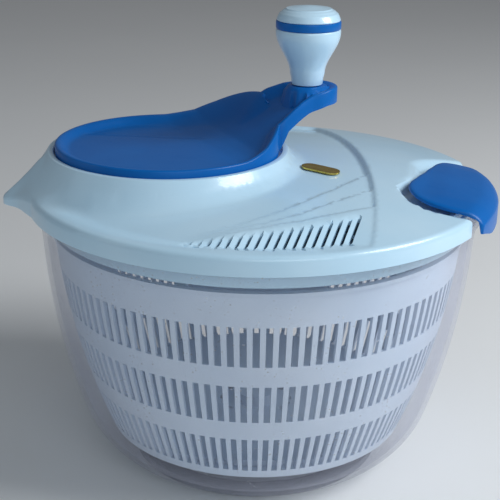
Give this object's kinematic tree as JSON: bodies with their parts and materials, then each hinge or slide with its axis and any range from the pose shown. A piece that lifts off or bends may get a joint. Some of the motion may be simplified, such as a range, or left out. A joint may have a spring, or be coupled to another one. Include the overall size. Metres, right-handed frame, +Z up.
{
  "type": "salad spinner",
  "caption": "Geared hand-cranked salad spinner: clear bowl, slotted spinning basket, domed lid with pouring beak, sliding latch and turning knob.",
  "frame": {"origin": "centre of the base, on the surface that the bowl stands on", "axes": "+Z up along the bowl's and basket's axis, +X towards the latch side, -X towards the crank's axis, -Y towards the vents at the front of the lid"},
  "size_m": [0.2711, 0.254, 0.2539],
  "materials": {
    "clear_plastic": "clear moulded plastic with a faint grey-violet tint, high gloss",
    "grey_rubber": "soft satin rubber",
    "steel": "plain bright steel",
    "acetal": "smooth satin bearing plastic",
    "basket_plastic": "slightly milky white, fine gloss",
    "white_plastic": "white with a cold tint, smooth gloss",
    "blue_plastic": "deep royal blue, smooth gloss",
    "gold_badge": "satin gold-coloured plate",
    "bronze": "sintered bronze"
  },
  "bodies": {
    "bowl": {"bowl": "clear_plastic", "non_slip_ring": "grey_rubber", "pivot_pin": "steel"},
    "bush": {"basket_bush": "acetal"},
    "basket": {"basket": "basket_plastic"},
    "lid": {"lid_shell": "white_plastic", "emblem": "gold_badge", "crank_bush": "acetal", "gear_cover": "white_plastic", "gear_cover_screws": "steel", "axle_bush": "bronze"},
    "crank": {"crank": "blue_plastic", "crank_gear": "acetal", "crank_washer": "steel", "crank_screw": "steel", "knob_pin": "steel", "knob_clip": "steel"},
    "knob": {"knob_body": "white_plastic", "knob_ring": "blue_plastic", "knob_cap": "white_plastic"},
    "drive": {"drive_pinion": "acetal", "drive_axle": "steel", "drive_plate": "white_plastic", "drive_screw": "steel"},
    "latch": {"latch": "blue_plastic", "latch_retainer": "white_plastic", "latch_screws": "steel"}
  },
  "joints": [
    {"name": "lid_lift", "type": "slide", "parent": "bowl", "child": "lid", "axis": [0, 0, 1], "range_m": [0, 0.32]},
    {"name": "basket_lift", "type": "slide", "parent": "bowl", "child": "bush", "axis": [0, 0, 1], "range_m": [0, 0.16]},
    {"name": "basket_spin", "type": "hinge", "parent": "bush", "child": "basket", "pos_m": [0, 0, 0.02], "axis": [0, 0, 1], "continuous": true},
    {"name": "crank_turn", "type": "hinge", "parent": "lid", "child": "crank", "pos_m": [-0.05, 0, 0.175], "axis": [0, 0, 1], "continuous": true},
    {"name": "knob_spin", "type": "hinge", "parent": "crank", "child": "knob", "pos_m": [0.02615, 0.01688, 0.23], "axis": [0, 0, 1], "continuous": true},
    {"name": "drive_spin", "type": "hinge", "parent": "lid", "child": "drive", "pos_m": [0, 0, 0.16], "axis": [0, 0, 1], "continuous": true},
    {"name": "latch_slide", "type": "slide", "parent": "lid", "child": "latch", "axis": [0.9781, -0.2079, 0], "range_m": [-0.004, 0]}
  ],
  "couplings": [
    {"joint": "basket_lift", "follows": "lid_lift", "ratio": 0.5},
    {"joint": "basket_spin", "follows": "crank_turn", "ratio": -3},
    {"joint": "drive_spin", "follows": "crank_turn", "ratio": -3}
  ]
}
